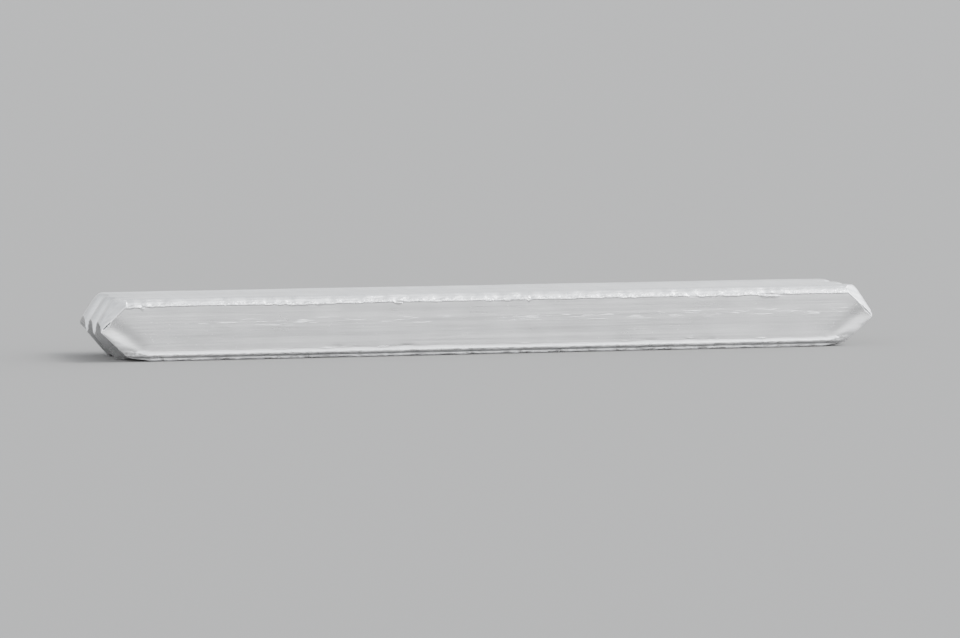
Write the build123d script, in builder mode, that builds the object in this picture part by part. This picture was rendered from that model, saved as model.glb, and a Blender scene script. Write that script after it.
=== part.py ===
from build123d import *
from math import atan, cos, degrees, radians, sin, tan
import os

os.makedirs("parts", exist_ok=True)

# Bar, in mm. X runs along it, Z is up, the origin is under its middle
length = 710
width = 101
height = 55
top_round = 7
bottom_bevel = 6.5
channel_width = 39
channel_depth = 2

# Ends squeezed off by fluted blades, which leave a ridge of three humps
wave_pitch = 35
wave_height = 12
ridge_level = 28.5
hump_share = 0.64
side_drop = 8
nose = 1.4
upper_slope = 57
lower_slope = 49
upper_round = 14
lower_round = 11
flute_rise = 10
skin = 0.3

# End corners drawn inward by the squeeze, above and below the ridge
upper_pinch = 9
upper_fade = 30
lower_pinch = 10.5
lower_fade = 34

half = length / 2
side = width / 2
hump_top = ridge_level + wave_height / 2
trough_low = ridge_level - wave_height / 2
mid_wave = hump_top - hump_share * wave_height

with BuildPart() as ingot:
    # Cross-section of the bar, carried from its middle to the ridge
    with BuildSketch(Plane.YZ):
        with BuildLine():
            Polyline(
                (0, channel_depth),
                (channel_width / 2 - channel_depth, channel_depth),
                (channel_width / 2, 0),
                (side - bottom_bevel, 0),
                (side, bottom_bevel),
                (side, height),
                (0, height),
            )
            mirror(about=Plane.YZ)
        make_face()
        fillet(vertices().group_by(Axis.Y)[-1].sort_by(Axis.X)[0], radius=top_round)
        fillet(vertices().group_by(Axis.Y)[-1].sort_by(Axis.X)[-1], radius=top_round)
    extrude(amount=half)

    # Side outline of the end, with its rounded shoulders
    high = hump_top + nose / 2 + skin / cos(radians(upper_slope))
    low = trough_low - nose / 2 - skin / cos(radians(lower_slope))
    top_edge = half - (height - high) / tan(radians(upper_slope))
    bottom_edge = half - low / tan(radians(lower_slope))
    with BuildSketch(Plane.XZ):
        with BuildLine():
            Polyline(
                (-10, 0), (bottom_edge, 0), (half, low), (half, high),
                (top_edge, height), (-10, height), (-10, 0),
            )
        make_face()
        fillet(vertices().sort_by_distance((top_edge, height))[0], upper_round)
        fillet(vertices().sort_by_distance((bottom_edge, 0))[0], lower_round)
    extrude(amount=width, both=True, mode=Mode.INTERSECT)

    # Flutes over the upper and lower slope, cut by the same wave
    for up, slope, shoulder in ((1, upper_slope, upper_round), (-1, lower_slope, lower_round)):
        run, rise = cos(radians(slope)), sin(radians(slope))
        start = mid_wave + up * nose / 2
        face = height if up > 0 else 0
        corner = half - abs(face - start) * run / rise
        with BuildLine(Plane.XZ) as path:
            FilletPolyline(
                (half + 20 * run, start - up * 20 * rise),
                (corner, face),
                (corner - 100, face + up * 100 * tan(radians(flute_rise))),
                radius=shoulder,
            )
        depth = wave_height * run
        lean = 2 * atan(2 * depth / wave_pitch)
        reach = wave_pitch / 2 / sin(lean)
        peak = hump_share * depth
        with BuildSketch(Plane(origin=path.line @ 0, x_dir=(0, -up, 0), z_dir=path.line % 0)):
            with BuildLine():
                hump = JernArc((0, up * peak), (1, 0), hump_share * reach, -up * degrees(lean))
                trough = JernArc(hump @ 1, hump % 1, (1 - hump_share) * reach, up * 2 * degrees(lean))
                outer = JernArc(trough @ 1, trough % 1, hump_share * reach, -up * degrees(lean))
                flank = TangentArc(outer @ 1, (side, up * (peak - side_drop * run)), tangent=(1, 0))
                Polyline(flank @ 1, (width, (flank @ 1).Y), (width, height), (0, height))
                mirror(about=Plane.YZ)
            make_face()
        sweep(path=path.line, mode=Mode.SUBTRACT)

    # Folded corners: a flat from the side end of the ridge to each long face
    ridge_end = Vector(half, side, hump_top - side_drop)
    for up, slope, pinch, fade in (
        (1, upper_slope, upper_pinch, upper_fade),
        (-1, lower_slope, lower_pinch, lower_fade),
    ):
        face = height if up > 0 else 0
        corner = half - abs(face - ridge_end.Z) / tan(radians(slope))
        drawn_in = Vector(corner, side - pinch, face) - ridge_end
        fade_out = Vector(half - fade, side, face) - ridge_end
        with BuildSketch(Plane(ridge_end, x_dir=fade_out, z_dir=fade_out.cross(drawn_in) * up)):
            Rectangle(2 * width, 2 * width)
        fold = extrude(amount=height, mode=Mode.PRIVATE)
        add(fold, mode=Mode.SUBTRACT)
        add(mirror(fold, about=Plane.XZ, mode=Mode.PRIVATE), mode=Mode.SUBTRACT)

    mirror(about=Plane.YZ)

ingot.part.label = "ingot"
export_step(ingot.part, "parts/ingot.step")
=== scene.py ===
import math

import bpy
import numpy as np
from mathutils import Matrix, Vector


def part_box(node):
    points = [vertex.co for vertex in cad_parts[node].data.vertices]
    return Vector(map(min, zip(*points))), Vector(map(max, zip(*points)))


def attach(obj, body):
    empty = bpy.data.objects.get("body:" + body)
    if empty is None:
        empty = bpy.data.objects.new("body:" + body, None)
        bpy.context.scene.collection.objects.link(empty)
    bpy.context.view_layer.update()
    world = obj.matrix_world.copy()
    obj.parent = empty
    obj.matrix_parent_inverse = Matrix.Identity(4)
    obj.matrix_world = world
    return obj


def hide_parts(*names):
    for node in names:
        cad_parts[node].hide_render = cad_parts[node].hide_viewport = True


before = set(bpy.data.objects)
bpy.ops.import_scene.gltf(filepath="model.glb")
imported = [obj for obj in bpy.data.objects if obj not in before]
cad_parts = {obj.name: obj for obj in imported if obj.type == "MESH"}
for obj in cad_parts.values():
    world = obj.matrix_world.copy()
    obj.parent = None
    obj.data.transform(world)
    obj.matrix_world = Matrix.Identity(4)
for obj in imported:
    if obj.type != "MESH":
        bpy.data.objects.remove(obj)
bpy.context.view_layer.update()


# The bar. One solid of aluminium, cast endlessly in an open mould that gives it a flat
# top, two upright sides, a stepped foot along each side and a shallow channel below.
# Lengths are in mm until the mesh is made; `e` is the distance from the nearer end.
MM = 0.001
_, high_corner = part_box("ingot")
half_length = high_corner.x / MM
half_width = high_corner.y / MM
height = high_corner.z / MM

side_in = 0.8                   # the flat sides, inside the nominal width
widest_in = 0.2                 # the widest points, inside it
widest = half_width - widest_in
lip_level = 48.6                # where the upright side turns in towards the top
lip_soft = 0.08
top_lean = math.radians(25)
top_soft = 4.0
top_low = 0.15                  # the top, below the nominal height
top_sink = 0.35                 # its sink in the middle, which fades out at sink_half
sink_half = 44.0
foot = ((44.6, 0.0), (46.1, 0.7), (46.5, 2.6), (48.4, 3.9), (50.3, 5.4), (50.15, 6.5), (49.7, 8.4))
foot_top = foot[-1][1]
foot_slant = 0.75               # distance off the foot's slanted faces, as a share of the level one
foot_soft = 0.35
channel_half = 19.5
channel_depth = 2.0


def rounded(first, second, depth):
    """How far outside two faces at once: the greater distance, and where both faces are
    nearer than `depth`, the distance from an arc that runs smoothly into each of them."""
    arc = np.hypot(np.maximum(first + depth, 0), np.maximum(second + depth, 0))
    return np.minimum(np.maximum(first, second), -depth) + arc


def leaning_face(across, level, through, lean):
    """Distance outside a long face through one point (across, level) of the section.
    Its normal points outward and is tipped upward by `lean` from the level."""
    return (across - through[0]) * np.cos(lean) + (level - through[1]) * np.sin(lean)


def foot_line(level):
    """Half the bar's width at a height above its underside, read off the foot's outline."""
    foot_across, foot_level = zip(*foot)
    return np.interp(level, foot_level, foot_across)


# The mould's marks. The mould drags lines along the metal as it freezes, the top sinks a
# little, and the edges carry small waves, because nothing on such a bar is machined.
chance = np.random.default_rng(11)


def make_waves(count, shortest, longest, stray=1.0):
    """Random directions, lengths and phases for `count` sine waves.
    `stray` is how far a wave may run off the x axis: 0 is straight along the bar."""
    length = np.exp(chance.uniform(math.log(shortest), math.log(longest), count))
    heading = chance.uniform(-1, 1, count) * stray * math.pi / 2
    return 2 * math.pi / length, heading, chance.uniform(0, 2 * math.pi, count)


def waves(kind, along, across=0.0):
    """Sum of the sine waves of one kind at each place, scaled to lie mostly in -1 to 1."""
    total = 0.0
    for rate, heading, phase in zip(*kind):
        total = total + np.sin(rate * (along * math.cos(heading) + across * math.sin(heading)) + phase)
    return total / math.sqrt(2 * len(kind[0]))


lip_waves = make_waves(7, 9, 70, 0)
lean_waves = make_waves(6, 14, 45, 0.2)
lip_steps = make_waves(3, 140, 400, 0)
side_waves = make_waves(9, 30, 260, 0.5)
top_waves = make_waves(8, 25, 160)
foot_waves = make_waves(5, 14, 90, 0)

lip_wave_size = 0.3             # how far each kind of wave moves its face, or turns it
lean_wave_size = math.radians(2.5)
lip_step_size = 0.5
side_wave_size = 0.12
top_wave_size = 0.12
foot_wave_size = 0.13
lean_share = 0.4                # share of the side's waves that the leaning edge follows
side_shift = 900.0              # each side reads the waves this far along, so the two differ


def bar_faces(x, y, z, widening):
    """Distance outside the long bar: its sides, leaning top edges, top, foot and channel.
    `widening` is how far the sides stand out past their flats at each place."""
    a = np.abs(y)
    along = x + side_shift * np.sign(y)
    wander = side_wave_size * waves(side_waves, along, z)
    face = half_width - side_in + widening
    side = a - face - wander
    lip = lip_level + lip_wave_size * waves(lip_waves, along) + lip_step_size * waves(lip_steps, along)
    tilt = top_lean + lean_wave_size * waves(lean_waves, along, z)
    lean = leaning_face(a, z, (face, lip), tilt)
    upright = rounded(side, lean - lean_share * wander, lip_soft)
    sink = top_sink * np.cos(np.clip(a / sink_half, 0, 1) * math.pi / 2) ** 2
    top_level = height - top_low - sink + top_wave_size * waves(top_waves, x, y)
    top = z - np.minimum(height, top_level)
    drop = z + foot_wave_size * waves(foot_waves, along)
    step = a - foot_line(drop) - widening * (drop > foot_top)
    flank = np.where(drop < foot_top, step * foot_slant, upright)
    slot = channel_depth - np.clip(a - channel_half + channel_depth, 0, channel_depth)
    bottom = np.maximum(-z, slot - z)
    return rounded(rounded(flank, top, top_soft), bottom, foot_soft)


# The ends. While hot, the strand is squeezed off between fluted blades. They leave a ridge
# of three humps, with flutes that run up over the shoulder and down under the belly, and
# the outer corners are drawn in and folded flat.
pitch = 35.0
wave_height = 12.0
hump_top = 34.5
side_drop = 8.0
hump_share = 0.64
mid_level = hump_top - hump_share * wave_height
wave_turn = 2 * math.atan(2 * wave_height / pitch)
hump_radius = hump_share * pitch / 2 / math.sin(wave_turn)
trough_radius = (1 - hump_share) * pitch / 2 / math.sin(wave_turn)
flank_run = half_width - pitch
flank_radius = (flank_run ** 2 + side_drop ** 2) / 2 / side_drop
tip_level = hump_top - side_drop

blade_up = math.radians(57)
blade_down = math.radians(49)
run_out = math.radians(6.5)
shoulder_soft = 4.4
belly_soft = 3.4


def ridge_level(y):
    """Height of the ridge across the bar: arcs over each hump, tighter arcs in the two
    troughs between, and a wider arc that falls from the outer hump to the side."""
    a = np.abs(y)
    from_hump = np.where(a < pitch / 2, a, np.abs(pitch - a))
    from_trough = pitch / 2 - from_hump
    on_hump = from_hump < hump_radius * math.sin(wave_turn)
    over = hump_top - hump_radius + np.sqrt(np.maximum(hump_radius ** 2 - from_hump ** 2, 0))
    bowl = np.sqrt(np.maximum(trough_radius ** 2 - from_trough ** 2, 0))
    under = hump_top - wave_height + trough_radius - bowl
    out = np.clip(a - pitch, 0, flank_run)
    flank = hump_top - flank_radius + np.sqrt(flank_radius ** 2 - out ** 2)
    return np.where(a > pitch, flank, np.where(on_hump, over, under))


def squeezed_face(e, y, z, sense, slope, soft):
    """Distance outside the flutes above (sense 1) or below (sense -1) the ridge. The blade's
    path goes up the slope, round the shoulder and leaves the long face at the run-out angle;
    the flutes stand off that path by the ridge's own wave."""
    rise = sense * (z - mid_level)
    face = (height - mid_level) if sense > 0 else mid_level
    corner = face / math.tan(slope)
    climb = rise * math.cos(slope) - e * math.sin(slope)
    leave = (rise - face) * math.cos(run_out) - (e - corner) * math.sin(run_out)
    wave = sense * (ridge_level(y) - mid_level) * math.cos(slope)
    return rounded(climb, leave, soft) - wave


flare_most = side_in - widest_in    # the sides widen by this at most, over flare_length
flare_length = 26.0
edge_along, edge_down = 0.789, 0.615    # direction of the lower blade's edge on the side
edge_length = 44.0
burr_out, burr_wide = 0.6, 4.0
hollow_in, hollow_off, hollow_wide = 0.9, 10.0, 6.0


def flare(e, z):
    """How far the sides stand out past their flats: a widening over the last stretch of the
    bar, and along the edge that the lower blade squeezed a low burr with a hollow behind it.
    `run` is the distance along that edge from the tip, `off` the distance up and away from it."""
    run = edge_along * e - edge_down * (z - tip_level)
    off = edge_down * e + edge_along * (z - tip_level)
    widening = flare_most * np.clip(1 - e / flare_length, 0, 1) ** 2
    burr = burr_out * np.exp(-np.maximum(off, 0) / burr_wide)
    hollow = hollow_in * np.exp(-((off - hollow_off) / hollow_wide) ** 2)
    fade = np.sin(math.pi * np.clip(run / edge_length, 0, 1)) ** 0.7
    return np.minimum(widening + (burr - hollow) * fade, flare_most)


def plane_through(first, second, third):
    """Unit normal and a point of the plane through three places (e, a, z), facing outward."""
    first, second, third = (np.array(place, float) for place in (first, second, third))
    normal = np.cross(second - first, third - first)
    normal /= np.linalg.norm(normal)
    return normal * np.sign(normal[1]), first


def fold_face(plane, e, a, z):
    """Distance outside a folded corner: along its normal, from the point it goes through."""
    (normal_e, normal_a, normal_z), (_, point_a, point_z) = plane
    return e * normal_e + (a - point_a) * normal_a + (z - point_z) * normal_z


upper_fade, lower_fade = 30.0, 34.0     # where the folds run out along the side
tip = (0, half_width, tip_level)
upper_fold = plane_through(tip, (upper_fade, half_width, height), (18.5, 41.5, height))
lower_fold = plane_through(tip, (lower_fade, half_width, 0), (23, 40, 0))
lip_run = np.array((upper_fade, height - tip_level))
lip_run = lip_run / np.hypot(*lip_run)

ridge_rag = make_waves(8, 2.5, 22, 0)
fold_waves = make_waves(6, 5, 40)
end_shift = 500.0               # each end reads these waves this far along
rag_mean, rag_size, rag_depth = 0.3, 0.3, 5.0   # how far back the ridge is torn, and how deep
fold_wave_size = 0.25
lower_fold_share = 0.5
ridge_soft = 0.5
fold_soft = 0.25

lap_shift = 300.0
lap_first, lap_last = 2.4, 17.0     # where a crease opens and closes, from the tip
lap_open, lap_open_wave = 0.66, 0.2
lap_centre, lap_centre_wave = 0.05, 0.25
lap_in = 0.9                    # a crease's middle line, inside the nominal width


def lap(x, y, z):
    """How far inside the thin crease under each upper lip, where the metal that the blade
    drew in has folded over itself: a round groove along the lip, which opens 2 to 3 mm from
    the tip, wanders a little, and thins out between 13 and 21 mm from it."""
    e = half_length - np.abs(x)
    shift = lap_shift * np.sign(y) + end_shift * np.sign(x)
    along = e * lip_run[0] + (z - tip_level) * lip_run[1]
    above = (z - tip_level) * lip_run[0] - e * lip_run[1]
    first = lap_first + 0.6 * np.sign(x * y)        # no two corners are alike
    last = lap_last + 2.5 * np.sign(y) + 1.5 * np.sign(x)
    share = np.clip((along - first) / (last - first), 0, 1)
    opening = lap_open + lap_open_wave * waves(ridge_rag, along + shift)
    opening = opening * np.sin(math.pi * share ** 0.7) ** 0.6
    centre = lap_centre + lap_centre_wave * waves(fold_waves, along + shift)
    return opening - np.hypot(above - centre, np.abs(y) - (half_width - lap_in))


def squeezed_bar(x, y, z):
    """Distance outside the bar as it is cut by the flutes over and under the ridge and by
    the four folded corners of each end, below zero in the metal."""
    a = np.abs(y)
    e = half_length - np.abs(x)
    body = bar_faces(x, y, z, flare(e, z))
    shift = end_shift * np.sign(x)
    rag = rag_mean + rag_size * waves(ridge_rag, y + shift)
    e = e - np.maximum(rag, 0) * np.exp(-np.maximum(e, 0) / rag_depth)
    ripple = fold_wave_size * waves(fold_waves, y + shift, z)
    upper_corner = fold_face(upper_fold, e, a, z) + ripple
    lower_corner = fold_face(lower_fold, e, a, z) + lower_fold_share * ripple
    body = rounded(body, upper_corner, fold_soft)
    body = rounded(body, lower_corner, np.clip(0.24 * e, 0.05, 9))
    over = squeezed_face(e, y, z, 1, blade_up, shoulder_soft)
    under = squeezed_face(e, y, z, -1, blade_down, belly_soft)
    end_soft = 0.3 + 1.2 * np.clip((z - ridge_level(y)) / 4, 0, 1)
    return rounded(body, rounded(over, under, ridge_soft), end_soft)


def ingot(x, y, z):
    """Distance outside the finished ingot: the squeezed bar with its thin creases."""
    return np.maximum(squeezed_bar(x, y, z), lap(x, y, z))


# The skin. The whole ingot has one unbroken cast skin, made here as one closed mesh.
# Stations run along the bar, close together at the ends, and each carries a ring of points,
# close together on the edges.
def spread(*stretches):
    """Places along a line: each stretch is (end, step), stepping on from the last end."""
    places, start = [], stretches[0][0]
    for end, step in stretches[1:]:
        count = max(1, round(abs(end - start) / step))
        places.append(start + (end - start) * np.arange(count) / count)
        start = end
    return np.concatenate(places + [[start]])


near_end = ((0.03, 0), (0.33, 0.15), (1.4, 0.3), (14, 0.5), (42, 1.0), (60, 1.5))
from_end = spread(*near_end, (half_length, 2.25))
station_x = np.concatenate([from_end - half_length, (half_length - from_end[:-1])[::-1]])
station_e = half_length - np.abs(station_x)

flat_edge = 43.5
lean_rise = 4.2
flat_a = spread((0, 0), (16.5, 1.5), (20.5, 0.66), (38, 1.5), (flat_edge, 1.1))
foot_a, foot_z = (np.array(v) for v in zip(*foot))
foot_t = spread((0, 0), (len(foot) - 1, 1 / 3))
low_side_t = (0.012, 0.035, 0.07, 0.12)
high_side_t = (0.91, 0.95, 0.975, 0.99)
side_t = np.concatenate([low_side_t, spread((0.17, 0), (0.86, 0.069)), high_side_t])
lean_t = spread((0, 0), (0.12, 0.06), (1, 0.22))

below_a = np.concatenate([flat_a, np.maximum.accumulate(np.interp(foot_t, range(len(foot)), foot_a))])
below_z = np.concatenate([flat_a * 0, np.interp(foot_t, range(len(foot)), foot_z)])
lean_top = (widest - lean_rise * math.tan(top_lean), lip_level + lean_rise)
lean_a = widest + lean_t * (lean_top[0] - widest)
lean_z = lip_level + lean_t * (lean_top[1] - lip_level)
round_a = spread((lean_top[0], 0), (flat_edge, 0.8))[1:-1]
round_z = np.interp(round_a, (flat_edge, lean_top[0]), (height, lean_top[1]))
above_a = np.concatenate([lean_a, round_a, flat_a[::-1]])
above_z = np.concatenate([lean_z, round_z, flat_a * 0 + height])


def outline(e):
    """The ring of aiming points of each station, across (a) and up (z), from the middle of
    the underside round one side to the middle of the top. Near an end they are held between
    the ridge and the slopes that rise and fall from it."""
    e = e[:, None]

    def slope_limit(across, sense, at_side, inside):
        """Highest or lowest level that the slope leaves: the ridge, and a reach that grows
        with e by `at_side` on the side and by `inside` from 10 mm in."""
        inward = np.clip((widest - across) / 10, 0, 1)
        return ridge_level(across) + sense * (e * (at_side + (inside - at_side) * inward) + 0.3 * inward)

    lowest = slope_limit(below_a, -1, tip_level / lower_fade, math.tan(blade_down))
    highest = slope_limit(above_a, 1, (height - tip_level) / upper_fade, math.tan(blade_up))
    low = np.maximum(below_z, lowest - 0.12 * (lowest - below_z))
    top = np.minimum(above_z, highest)
    side = low[:, -1:] + side_t * (top[:, :1] - low[:, -1:])
    across = np.concatenate([below_a, side_t * 0 + widest, above_a])
    return np.broadcast_to(across, (len(e), len(across))), np.concatenate([low, side, top], 1)


def halved(holds, shape, furthest, times):
    """Where `holds` stops being true between 0 and `furthest`, by halving that stretch again
    and again. Returns the last place where it holds and the first where it doesn't."""
    last, first = np.zeros(shape), np.full(shape, furthest)
    for _ in range(times):
        middle = (last + first) / 2
        held = holds(middle)
        last, first = np.where(held, middle, last), np.where(held, first, middle)
    return last, first


def tip_gap(end, across):
    """How far the ragged ridge stops short of the bar's nominal end, at places across it."""
    def outside(e):
        return squeezed_bar(end * (half_length - e), across, ridge_level(across)) > 0

    return halved(outside, across.shape, 1.0, 24)[1]


def skin_points():
    """Every point of the skin, found by halving: on the line from a point on the sheet
    behind the ridge, inside the metal, out past its aiming point, the last place that is
    still in the metal. Returns x, y and z for each station and place round its ring."""
    aim_a, aim_z = outline(station_e)
    thick = np.minimum(12, 1.1 * station_e + 0.05)[:, None]
    core_a = np.minimum(aim_a, widest - thick)
    core_z = ridge_level(core_a)
    end = np.sign(station_x)[:, None]
    behind = np.exp(-station_e[:, None] / 6)
    tip_a = spread((0, 0), (half_width, 0.25))
    halves = []
    for hand in (1, -1):
        gaps = [np.interp(core_a, tip_a, tip_gap(side, hand * tip_a)) for side in (-1.0, 1.0)]
        x = station_x[:, None] - end * np.where(end > 0, gaps[1], gaps[0]) * behind

        def place(share):
            """The place a share of the way from the core to the aiming point."""
            return x, hand * (core_a + share * (aim_a - core_a)), core_z + share * (aim_z - core_z)

        def in_metal(share):
            return ingot(*place(share)) < 0

        halves.append(place(halved(in_metal, aim_a.shape, 1.6, 26)[0]))
    return [np.concatenate([front, back[:, -2:0:-1]], 1) for front, back in zip(*halves)]


knocked_edges = (               # level, place across and number of knocks of each long edge
    (lip_level, 50.3, 26),
    (52.5, 48.5, 14),
    (9.3, 50.3, 16),
    (1.0, 46, 18),
)


def knocks(x, y, z):
    """How deep the skin is dented at each place: the sum of small bell-shaped knocks on the
    long edges, longer along the bar than across."""
    depth = np.zeros(x.shape)
    for level, across, count in knocked_edges:
        for _ in range(count):
            centre = chance.uniform(-half_length + 30, half_length - 30)
            hand = chance.choice((-1, 1))
            long, wide = chance.uniform(1.6, 6), chance.uniform(0.7, 1.6)
            off_edge = ((y - hand * across) / wide) ** 2 + ((z - level) / wide) ** 2
            depth += chance.uniform(0.15, 0.7) * np.exp(-((x - centre) / long) ** 2 - off_edge)
    return depth


skin_x, skin_y, skin_z = skin_points()
deep = knocks(skin_x, skin_y, skin_z)
above_core = skin_z - ridge_level(0)
from_core = np.hypot(skin_y, above_core) + 1e-6
skin_y = skin_y - deep * skin_y / from_core
skin_z = skin_z - deep * above_core / from_core
points = np.stack([skin_x, skin_y, skin_z], -1)
stations, around = skin_x.shape


def grid_faces():
    """Quads between neighbouring stations, and across each end a strip that joins the upper
    half of the first ring to the lower half."""
    i, j = np.meshgrid(np.arange(stations - 1), np.arange(around), indexing="ij")
    ring, next_ring, next_j = i * around, (i + 1) * around, (j + 1) % around
    corners = [ring + j, ring + next_j, next_ring + next_j, next_ring + j]
    faces = [np.stack(corners, -1).reshape(-1, 4)]
    last = around // 2
    k = np.arange(last // 2)
    for start, flip in ((0, False), ((stations - 1) * around, True)):
        for hand in (1, -1):
            low, low_next = (hand * k) % around, (hand * (k + 1)) % around
            top, top_next = (hand * (last - k)) % around, (hand * (last - 1 - k)) % around
            quad = np.stack([low, low_next, top_next, top], -1) + start
            faces.append(quad if (hand < 0) != flip else quad[:, ::-1])
    return np.concatenate(faces)


def bend(points, axis):
    """How sharply the skin turns along one direction of the grid, in 1/mm, more than zero on
    an outward edge: the change of the unit step between neighbours, measured along the
    normal that points into the metal."""
    step = np.roll(points, -1, axis) - points
    length = np.linalg.norm(step, axis=-1, keepdims=True) + 1e-6
    unit = step / length
    change = (unit - np.roll(unit, 1, axis)) / (0.5 * (length + np.roll(length, 1, axis)))
    along = np.gradient(points, axis=0)
    across = np.roll(points, -1, 1) - np.roll(points, 1, 1)
    inward = np.cross(along, across)
    inward /= np.linalg.norm(inward, axis=-1, keepdims=True) + 1e-9
    return (change * inward).sum(-1)


mesh = bpy.data.meshes.new("aluminium_ingot")
mesh.from_pydata((points.reshape(-1, 3) * MM).tolist(), [], grid_faces().tolist())
mesh.polygons.foreach_set("use_smooth", np.ones(len(mesh.polygons), bool))

edge = np.clip(np.maximum(bend(points, 0), bend(points, 1)), -2, 2)
edge[[0, 1, -1, -2]] = 0        # the end rings have no neighbours beyond them
for _ in range(2):
    edge = np.maximum(edge, (np.roll(edge, 1, 1) + np.roll(edge, -1, 1)) / 2)
skin_e = half_length - np.abs(skin_x)
squeeze = 1 - np.clip((skin_e - 14) / 16, 0, 1)
# where the lap creases are, for the painted shade that darkens them
crease = np.clip(lap(skin_x, skin_y, skin_z) / 0.25 + 1, 0, 1)
near_side = np.clip((np.abs(skin_y) - 46) / 3, 0, 1)
# where the painted highlight goes: on each side, about 13 mm from each tip and 17.5 mm up
tip_highlight = np.exp(-((skin_e - 13) / 11) ** 2 - ((skin_z - 17.5) / 7) ** 2) * near_side
for name, values in (("edge", edge), ("squeeze", squeeze), ("tip_highlight", tip_highlight), ("crease", crease)):
    layer = mesh.attributes.new(name, "FLOAT", "POINT")
    layer.data.foreach_set("value", values.astype(np.float32).ravel())
mesh.update()

piece = bpy.data.objects.new("aluminium_ingot", mesh)
bpy.context.scene.collection.objects.link(piece)


# The finish. Bare metal with the skin that it froze with: drag marks along the sides,
# freeze lines and scum on top, finer marks where the blades squeezed it, and bright scuffs
# and flakes where it was handled. The metal has no paint or polish; painted shade darkens the
# hollows and creases, and a painted highlight brightens each side just behind the tips.
metal = bpy.data.materials.new("cast_aluminium")
metal.use_nodes = True
mesh.materials.append(metal)
tree = metal.node_tree          # the nodes below go into this tree


def put(kind, options=(), sockets=()):
    """Adds one shader node of a kind, sets its options, and gives each named or numbered
    socket a value or another node's output. Returns the new node."""
    made = tree.nodes.new("ShaderNode" + kind)
    for name, value in dict(options).items():
        setattr(made, name, value)
    for name, value in dict(sockets).items():
        if isinstance(value, bpy.types.NodeSocket):
            tree.links.new(value, made.inputs[name])
        else:
            made.inputs[name].default_value = value
    return made


def math_of(operation, *values):
    """The result of a Math node over one, two or three values or outputs."""
    return put("Math", {"operation": operation}, dict(enumerate(values))).outputs[0]


def ramp(value, low, high):
    """0 at `low`, 1 at `high`, straight between and level beyond them. Either may be greater."""
    sockets = {"Value": value, "From Min": low, "From Max": high}
    return put("MapRange", {"clamp": True}, sockets).outputs["Result"]


def noise(stretch, detail=2.0, rough=0.5, shift=(0, 0, 0)):
    """Noise in the ingot's own metres, `stretch` being how many bumps a metre it has along
    the bar, across it and upward."""
    places = put("Mapping", {}, {"Vector": own_place, "Scale": stretch, "Location": shift}).outputs[0]
    sockets = {"Vector": places, "Scale": 1.0, "Detail": detail, "Roughness": rough}
    return put("TexNoise", {}, sockets).outputs["Fac"]


def blend(share, first, second):
    """The first output where `share` is 0, the second where it is 1."""
    return put("Mix", {}, {"Factor": share, 2: first, 3: second}).outputs[0]


def add_up(start, *parts):
    """A starting number plus each part's (output, amount, middle) as amount x (output - middle)."""
    total = start
    for output, amount, middle in parts:
        total = math_of("ADD", total, math_of("MULTIPLY", math_of("SUBTRACT", output, middle), amount))
    return total


own_place = put("TexCoord").outputs["Object"]
level = put("SeparateXYZ", {}, {"Vector": own_place}).outputs["Z"]
curvature = put("Attribute", {"attribute_name": "edge"}).outputs["Fac"]
squeezed = put("Attribute", {"attribute_name": "squeeze"}).outputs["Fac"]
tip_highlight_share = put("Attribute", {"attribute_name": "tip_highlight"}).outputs["Fac"]
crease_shade = put("Attribute", {"attribute_name": "crease"}).outputs["Fac"]
moulded = math_of("SUBTRACT", 1.0, squeezed)

# Drag marks along the mould, and short upright ones along the blades.
bands = noise((1.2, 90, 130), detail=3, rough=0.6, shift=(6, 2, 3))
drag = noise((7, 300, 420), detail=3)
fine_drag = noise((38, 1100, 1500), shift=(3, 1, 2))
striae = noise((45, 800, 45), detail=3, rough=0.6, shift=(5, 2, 7))
lines = blend(squeezed, drag, striae)
mottle = noise((28, 45, 60), detail=5, rough=0.6)
grain = noise((900, 900, 900), rough=0.6)

# The top: lines where the metal froze, and patches of scum.
on_top = math_of("MULTIPLY", ramp(level, 0.053, 0.0546), moulded)
freeze_waves = noise((95, 14, 14), detail=3, rough=0.55, shift=(9, 3, 1))
freeze_lines = math_of("MULTIPLY", on_top, freeze_waves)
scum_patch = noise((55, 80, 80), detail=5, rough=0.65, shift=(4, 9, 2))
scum = math_of("MULTIPLY", on_top, ramp(scum_patch, 0.5, 0.64))

# Scuffs in a band half way up each side, and bright specks all over.
speck_patch = noise((420, 800, 800), shift=(8, 8, 5))
specks = math_of("MULTIPLY", ramp(speck_patch, 0.71, 0.76), 0.55)
scuff_run = ramp(noise((42, 420, 560), detail=3, rough=0.6, shift=(1, 8, 4)), 0.57, 0.63)
scuff_patch = ramp(noise((5, 3, 3), detail=1, shift=(4, 4, 1)), 0.5, 0.54)
scuff_band = ramp(math_of("ABSOLUTE", math_of("SUBTRACT", level, 0.0325)), 0.004, 0.0022)
scuff_place = math_of("MULTIPLY", scuff_band, moulded)
scuffs = math_of("MULTIPLY", math_of("MULTIPLY", scuff_run, scuff_patch), scuff_place)

# Edges: flaked where they stand out, wrinkled along the lip, and with painted shade in the hollows.
long_flakes = noise((150, 500, 500), detail=3, rough=0.6, shift=(2, 3, 3))
short_flakes = noise((900, 900, 900), detail=3, rough=0.6, shift=(2, 6, 3))
flake_run = ramp(blend(squeezed, long_flakes, short_flakes), 0.4, 0.6)
flakes = math_of("MULTIPLY", ramp(curvature, 0.15, 0.5), flake_run)
lip_share = math_of("MAXIMUM", ramp(level, 0.02, 0.044), 0.3)
wrinkled = math_of("MULTIPLY", math_of("MULTIPLY", ramp(curvature, 0.06, 0.3), moulded), lip_share)
wrinkle_waves = noise((190, 520, 520), detail=3, rough=0.6, shift=(6, 4, 9))
wrinkles = math_of("MULTIPLY", wrinkled, wrinkle_waves)
# painted shade: darker where the skin turns inward
hollow_shade = ramp(curvature, -0.1, -0.6)
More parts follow.
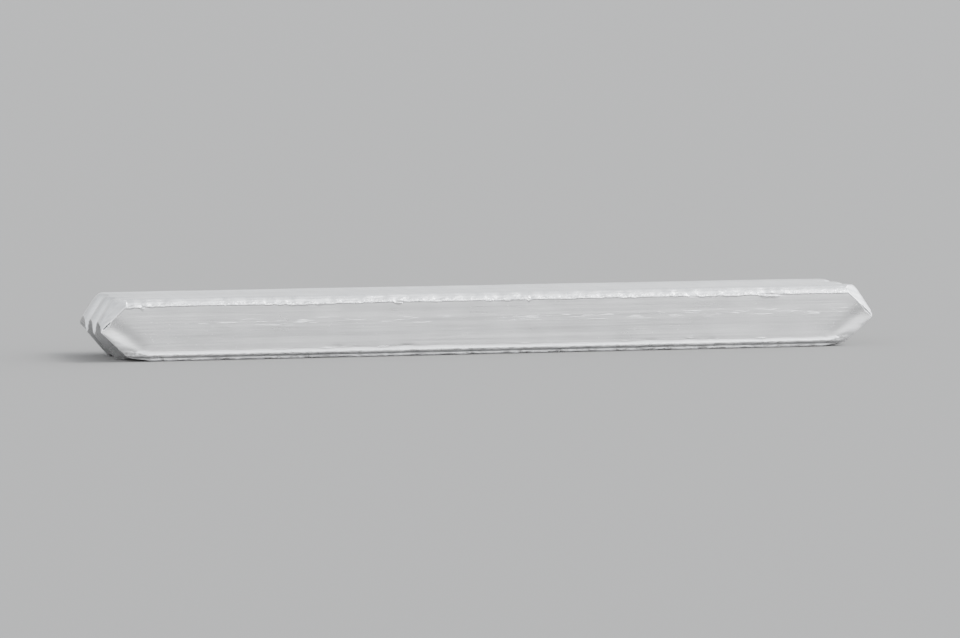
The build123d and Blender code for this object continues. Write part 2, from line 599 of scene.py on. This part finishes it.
# A painted highlight on each side just behind the tips, broken up by patches of noise.
highlight_patch = ramp(noise((40, 200, 200), detail=3, rough=0.6, shift=(7, 1, 2)), 0.2, 0.55)
painted_tip_highlight = math_of("MULTIPLY", tip_highlight_share, highlight_patch)
# bright scuffs, flakes and specks, and the painted highlight behind the tips
bright = math_of("MAXIMUM", math_of("MAXIMUM", scuffs, flakes), math_of("MAXIMUM", painted_tip_highlight, specks))

tone = add_up(
    0.78,
    (bands, 0.38, 0.5),
    (lines, 0.22, 0.5),
    (mottle, 0.1, 0.5),
    (bright, 0.2, 0),
    # painted shade in the hollows
    (hollow_shade, -0.3, 0),
    # painted shade in the lap creases
    (crease_shade, -0.6, 0),
    (freeze_lines, 0.22, 0.22),
    (scum, -0.09, 0),
)
bluer = math_of("ADD", tone, 0.006)
colour = put("CombineColor", {}, {"Red": tone, "Green": tone, "Blue": bluer}).outputs[0]
roughness = add_up(
    0.31,
    (mottle, 0.2, 0.5),
    (lines, 0.1, 0.5),
    (bright, 0.3, 0),
    (squeezed, -0.05, 0),
    (scum, 0.14, 0),
    (wrinkled, -0.12, 0),
)
metalness = add_up(1.0, (bright, -0.7, 0))
relief = add_up(
    0.0,
    (grain, 0.05, 0),
    (lines, 0.1, 0),
    (fine_drag, 0.05, 0),
    (bright, 0.2, 0),
    (freeze_lines, 1.1, 0),
    (scum, 0.1, 0),
    (wrinkles, 1.6, 0),
)
bump = put("Bump", {}, {"Height": relief, "Distance": 0.001, "Strength": 0.7}).outputs["Normal"]

shader = tree.nodes["Principled BSDF"]
tree.links.new(metalness, shader.inputs["Metallic"])
tree.links.new(colour, shader.inputs["Base Color"])
tree.links.new(roughness, shader.inputs["Roughness"])
tree.links.new(bump, shader.inputs["Normal"])

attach(piece, "root")
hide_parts("ingot")


# The floor. Plain, pale and matt, large enough to fill the view from every side.
floor_half = 40.0
floor_corners = [
    (-floor_half, -floor_half, 0),
    (floor_half, -floor_half, 0),
    (floor_half, floor_half, 0),
    (-floor_half, floor_half, 0),
]
floor_mesh = bpy.data.meshes.new("floor")
floor_mesh.from_pydata(floor_corners, [], [(0, 1, 2, 3)])
floor = bpy.data.objects.new("floor", floor_mesh)
bpy.context.scene.collection.objects.link(floor)
paint = bpy.data.materials.new("pale_floor")
paint.use_nodes = True
paint_shader = paint.node_tree.nodes["Principled BSDF"]
paint_shader.inputs["Base Color"].default_value = (0.215, 0.211, 0.207, 1)
paint_shader.inputs["Roughness"].default_value = 0.9
floor_mesh.materials.append(paint)


# Light. A white tent all round the ingot, a little blue half way up and dimmer behind the
# bar. A broad lamp shines through it from the right, and one soft lamp stands on that side.
world = bpy.data.worlds.new("white_tent")
bpy.context.scene.world = world
world.use_nodes = True
tree = world.node_tree          # from here on, new nodes go into the world's tree

heading = put("TexCoord").outputs["Generated"]
tent_level = ramp(put("SeparateXYZ", {}, {"Vector": heading}).outputs["Z"], -1, 1)
tent = put("ValToRGB", {}, {"Fac": tent_level})
tent_peak = 2.2
tent_stops = (                  # level on the tent, brightness there, share of blue
    (0.0, 1.0, 0.0),
    (0.5, 2.15, 0.0),
    (0.585, 2.1, 0.03),
    (0.71, 1.85, 0.07),
    (0.85, 1.75, 0.07),
    (0.935, 1.15, 0.06),
    (1.0, 0.85, 0.05),
)
elements = tent.color_ramp.elements
while len(elements) < len(tent_stops):
    elements.new(0.5)
for element, (place, brightness, blue) in zip(elements, tent_stops):
    element.position = place
    white = brightness / tent_peak
    element.color = (white * (1 - blue), white * (1 - blue / 2), white, 1)


def towards(direction):
    """How far each heading points towards one direction: their dot product, at least 0."""
    product = put("VectorMath", {"operation": "DOT_PRODUCT"}, {0: heading, 1: direction})
    return math_of("MAXIMUM", product.outputs["Value"], 0.0)


glow = math_of("POWER", towards((0.75, -0.2, 0.63)), 3.0)
lit = math_of("MULTIPLY", add_up(1.0, (glow, 2.2, 0)), tent_peak)
shade = math_of("POWER", towards((-0.26, 0.96, 0.1)), 2.0)
strength = math_of("MULTIPLY", lit, add_up(1.0, (shade, -0.45, 0)))
backdrop = tree.nodes["Background"]
tree.links.new(tent.outputs["Color"], backdrop.inputs["Color"])
tree.links.new(strength, backdrop.inputs["Strength"])

lamp_data = bpy.data.lights.new("soft_lamp", "SUN")
lamp_data.energy = 2.6
lamp_data.angle = math.radians(22)
lamp = bpy.data.objects.new("soft_lamp", lamp_data)
bpy.context.scene.collection.objects.link(lamp)
lamp.rotation_euler = (math.radians(43), 0, math.radians(68))


# Camera. A long lens, a few degrees above level and a little to the left of the bar's middle.
azimuth, elevation = math.radians(-15), math.radians(4.5)
distance = 4.5
aim_level = height * MM / 2
camera_data = bpy.data.cameras.new("camera")
camera_data.lens = 188
camera = bpy.data.objects.new("camera", camera_data)
bpy.context.scene.collection.objects.link(camera)
camera.location = (
    distance * math.sin(azimuth) * math.cos(elevation),
    -distance * math.cos(azimuth) * math.cos(elevation),
    aim_level + distance * math.sin(elevation),
)
camera.rotation_euler = (math.pi / 2 - elevation, 0, azimuth)
bpy.context.scene.camera = camera
